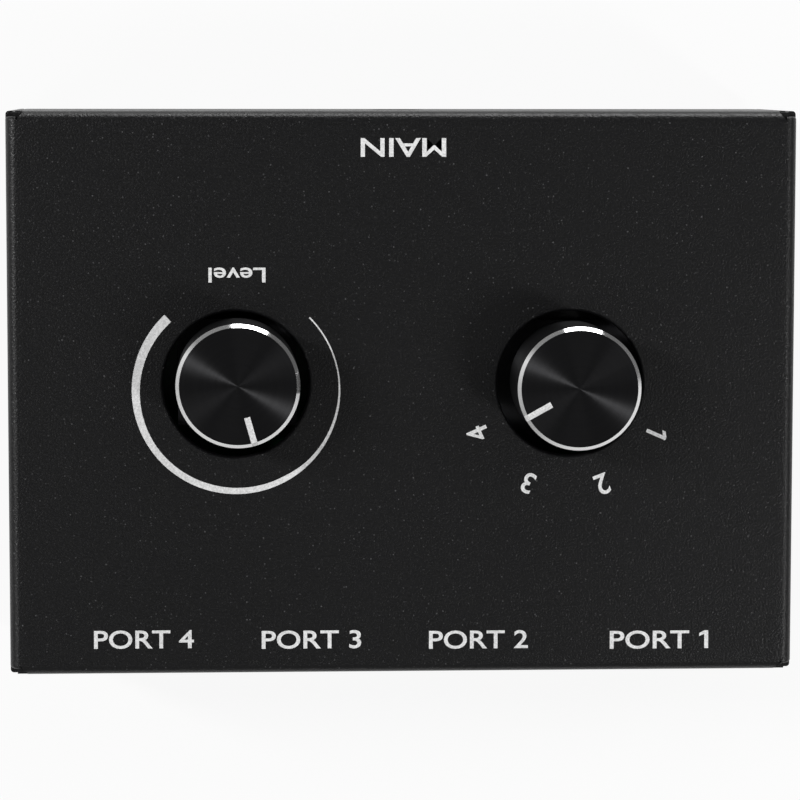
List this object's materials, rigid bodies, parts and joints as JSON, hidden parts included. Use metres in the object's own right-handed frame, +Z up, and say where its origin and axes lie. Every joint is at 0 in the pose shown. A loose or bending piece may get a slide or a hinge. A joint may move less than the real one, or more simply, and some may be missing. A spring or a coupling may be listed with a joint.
{
  "type": "audio source selector",
  "caption": "Small black sheet metal audio switch box with a volume knob and a click-stop source selector knob, audio jacks on front and back, and rubber feet.",
  "frame": {"origin": "middle of the footprint, on the plane that the feet stand on", "axes": "+Z up, +X along the width, +Y towards the back wall with the row of jacks; the front jack faces -Y"},
  "size_m": [0.1058, 0.0756, 0.0437],
  "materials": {
    "powder_coat": "fine textured black powder coat",
    "foot_rubber": "matt black rubber",
    "black_screw": "black oxide",
    "zinc_steel": "bright zinc plate",
    "bracket_black": "black passivated steel",
    "standoff_brass": "turned brass",
    "board_green": "green solder mask",
    "jack_plastic": "moulded black plastic",
    "nickel": "nickel plate",
    "contact_bronze": "phosphor bronze strip",
    "wafer_brown": "phenolic sheet",
    "tinned_metal": "tinned",
    "control_plastic": "moulded black plastic",
    "rotor_nylon": "natural nylon",
    "spring_steel": "spring steel strip",
    "shaft_aluminium": "turned aluminium",
    "knob_black": "black anodised, turned, bright cut chamfer",
    "core_plastic": "moulded black plastic",
    "pointer_white": "white paint in a milled line"
  },
  "bodies": {
    "case": {"top_cover": "powder_coat", "base_plate": "powder_coat", "foot_1": "foot_rubber", "foot_2": "foot_rubber", "foot_3": "foot_rubber", "foot_4": "foot_rubber", "base_screws": "black_screw", "pcb_screws": "zinc_steel", "pot_bracket": "bracket_black", "switch_bracket": "bracket_black", "pcb_standoffs": "standoff_brass", "main_pcb": "board_green", "jack_housing_1": "jack_plastic", "jack_housing_2": "jack_plastic", "jack_housing_3": "jack_plastic", "jack_housing_4": "jack_plastic", "jack_housing_5": "jack_plastic", "jack_sleeve_1": "nickel", "jack_sleeve_2": "nickel", "jack_sleeve_3": "nickel", "jack_sleeve_4": "nickel", "jack_sleeve_5": "nickel", "jack_ring_contact_1": "contact_bronze", "jack_ring_contact_2": "contact_bronze", "jack_ring_contact_3": "contact_bronze", "jack_ring_contact_4": "contact_bronze", "jack_ring_contact_5": "contact_bronze", "jack_tip_contact_1": "contact_bronze", "jack_tip_contact_2": "contact_bronze", "jack_tip_contact_3": "contact_bronze", "jack_tip_contact_4": "contact_bronze", "jack_tip_contact_5": "contact_bronze", "pot_lower_wafer": "wafer_brown", "pot_upper_wafer": "wafer_brown", "pot_terminals": "tinned_metal", "switch_contacts": "tinned_metal", "switch_slip_rings": "tinned_metal", "pot_housing": "control_plastic", "switch_housing": "control_plastic", "switch_click_spring": "spring_steel"},
    "volume_control": {"volume_knob": "knob_black", "volume_knob_core": "core_plastic", "volume_pointer": "pointer_white", "pot_shaft": "shaft_aluminium", "pot_rotor": "rotor_nylon", "pot_lower_wiper": "contact_bronze", "pot_upper_wiper": "contact_bronze"},
    "selector_control": {"selector_knob": "knob_black", "selector_knob_core": "core_plastic", "selector_pointer": "pointer_white", "switch_shaft": "shaft_aluminium", "switch_rotor": "rotor_nylon", "switch_wiper_1": "contact_bronze", "switch_wiper_2": "contact_bronze"}
  },
  "joints": [
    {"name": "volume_turn", "type": "hinge", "parent": "case", "child": "volume_control", "pos_m": [0.0222, -0.0021, 0.0305], "axis": [0, 0, 1], "range_deg": [-152, 118]},
    {"name": "selector_turn", "type": "hinge", "parent": "case", "child": "selector_control", "pos_m": [-0.0226, -0.0016, 0.0305], "axis": [0, 0, 1], "range_deg": [0, 120], "deforming": ["switch_click_spring"]}
  ]
}
